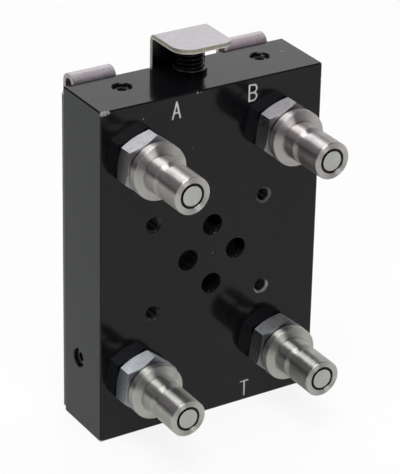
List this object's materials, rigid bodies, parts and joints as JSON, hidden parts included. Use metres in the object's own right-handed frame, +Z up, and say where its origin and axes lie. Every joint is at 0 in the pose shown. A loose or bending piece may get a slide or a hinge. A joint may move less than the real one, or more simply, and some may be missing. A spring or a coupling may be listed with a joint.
{
  "type": "hydraulic connection plate",
  "caption": "Drilled manifold plate with a size 6 valve pattern, flat-face coupling nipples, rail hooks and a sprung latch.",
  "frame": {"origin": "centre of the block's bottom face", "axes": "+Z up along the block's height, -Y out of the valve face along the nipples, +X to the right as seen facing the valve face"},
  "size_m": [0.08, 0.0593, 0.1266],
  "materials": {
    "black_anodised_aluminium": "glossy black anodised",
    "bright_plated_steel": "bright nickel plated, fine turning marks",
    "stainless_sheet": "satin stainless sheet",
    "plain_steel": "plain",
    "dark_steel": "black oxide",
    "black_spring_steel": "black phosphated",
    "seal_rubber": "matte"
  },
  "bodies": {
    "plate_assembly": {"manifold_block": "black_anodised_aluminium", "plug_top_left": "dark_steel", "plug_top_right": "dark_steel", "plug_side_left": "dark_steel", "plug_side_right": "dark_steel", "plug_bottom_middle": "dark_steel", "plug_bottom_right": "dark_steel", "back_plate": "stainless_sheet", "plate_screws": "plain_steel", "spring_cup": "dark_steel", "latch_spring": "black_spring_steel", "adapter_a": "bright_plated_steel", "nose_a": "bright_plated_steel", "port_seal_a": "seal_rubber", "body_seal_a": "seal_rubber", "tip_seal_a": "seal_rubber", "spring_guide_a": "plain_steel", "valve_spring_a": "plain_steel", "adapter_b": "bright_plated_steel", "nose_b": "bright_plated_steel", "port_seal_b": "seal_rubber", "body_seal_b": "seal_rubber", "tip_seal_b": "seal_rubber", "spring_guide_b": "plain_steel", "valve_spring_b": "plain_steel", "adapter_p": "bright_plated_steel", "nose_p": "bright_plated_steel", "port_seal_p": "seal_rubber", "body_seal_p": "seal_rubber", "tip_seal_p": "seal_rubber", "spring_guide_p": "plain_steel", "valve_spring_p": "plain_steel", "adapter_t": "bright_plated_steel", "nose_t": "bright_plated_steel", "port_seal_t": "seal_rubber", "body_seal_t": "seal_rubber", "tip_seal_t": "seal_rubber", "spring_guide_t": "plain_steel", "valve_spring_t": "plain_steel"},
    "latch": {"latch_slide": "stainless_sheet"},
    "valve_a": {"poppet_a": "bright_plated_steel"},
    "valve_b": {"poppet_b": "bright_plated_steel"},
    "valve_p": {"poppet_p": "bright_plated_steel"},
    "valve_t": {"poppet_t": "bright_plated_steel"}
  },
  "joints": [
    {"name": "latch_press", "type": "slide", "parent": "plate_assembly", "child": "latch", "axis": [0, 0, -1], "range_m": [0, 0.005], "stiffness_N_per_m": 950, "springref_m": -0.006, "deforming": ["latch_spring"]},
    {"name": "poppet_a_push", "type": "slide", "parent": "plate_assembly", "child": "valve_a", "axis": [0, 1, 0], "range_m": [0, 0.0045], "stiffness_N_per_m": 1500, "springref_m": -0.003, "deforming": ["valve_spring_a"]},
    {"name": "poppet_b_push", "type": "slide", "parent": "plate_assembly", "child": "valve_b", "axis": [0, 1, 0], "range_m": [0, 0.0045], "stiffness_N_per_m": 1500, "springref_m": -0.003, "deforming": ["valve_spring_b"]},
    {"name": "poppet_p_push", "type": "slide", "parent": "plate_assembly", "child": "valve_p", "axis": [0, 1, 0], "range_m": [0, 0.0045], "stiffness_N_per_m": 1500, "springref_m": -0.003, "deforming": ["valve_spring_p"]},
    {"name": "poppet_t_push", "type": "slide", "parent": "plate_assembly", "child": "valve_t", "axis": [0, 1, 0], "range_m": [0, 0.0045], "stiffness_N_per_m": 1500, "springref_m": -0.003, "deforming": ["valve_spring_t"]}
  ]
}
